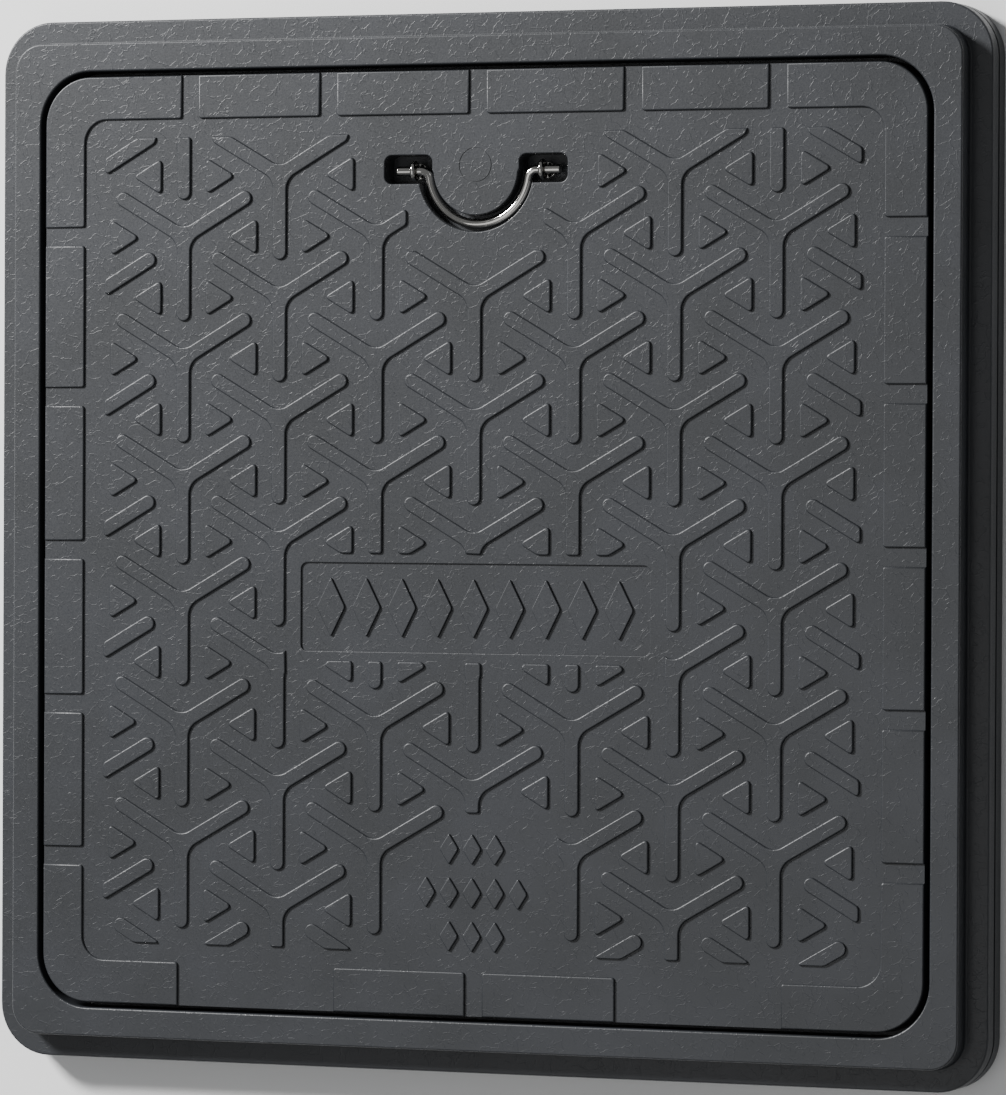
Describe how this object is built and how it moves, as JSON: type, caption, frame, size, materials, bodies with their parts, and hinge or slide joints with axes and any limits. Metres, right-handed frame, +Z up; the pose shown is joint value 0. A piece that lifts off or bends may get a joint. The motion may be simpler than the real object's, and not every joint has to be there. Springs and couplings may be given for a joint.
{
  "type": "square manhole cover and frame",
  "caption": "Square composite access cover with raised tread, resting in a flanged frame, with a folding steel lifting bail.",
  "frame": {"origin": "middle of the frame's underside", "axes": "+Z up out of the ground, +Y towards the lifting handle, +X right"},
  "size_m": [0.56, 0.56, 0.033],
  "materials": {
    "smc_frame": "dark slate grey moulded glass-filled polyester, matte, fine wrinkled skin",
    "smc_cover": "dark slate grey moulded glass-filled polyester, matte, fine wrinkled skin",
    "epdm_rubber": "black EPDM sealing strip",
    "polished_stainless": "polished stainless steel rod",
    "plain_stainless": "plain stainless steel fasteners"
  },
  "bodies": {
    "frame": {"frame": "smc_frame", "seat_gasket": "epdm_rubber"},
    "cover": {"cover_panel": "smc_cover", "eye_bolt_left": "polished_stainless", "eye_bolt_right": "polished_stainless", "eye_washer_left": "plain_stainless", "eye_washer_right": "plain_stainless", "eye_nut_left": "plain_stainless", "eye_nut_right": "plain_stainless"},
    "bail": {"lifting_bail": "polished_stainless"}
  },
  "joints": [
    {"name": "cover_lift", "type": "slide", "parent": "frame", "child": "cover", "axis": [0, 0, 1], "range_m": [0, 0.06]},
    {"name": "bail_hinge", "type": "hinge", "parent": "cover", "child": "bail", "pos_m": [0, 0.1964, 0.02675], "axis": [-1, 0, 0], "range_deg": [0, 120]}
  ]
}
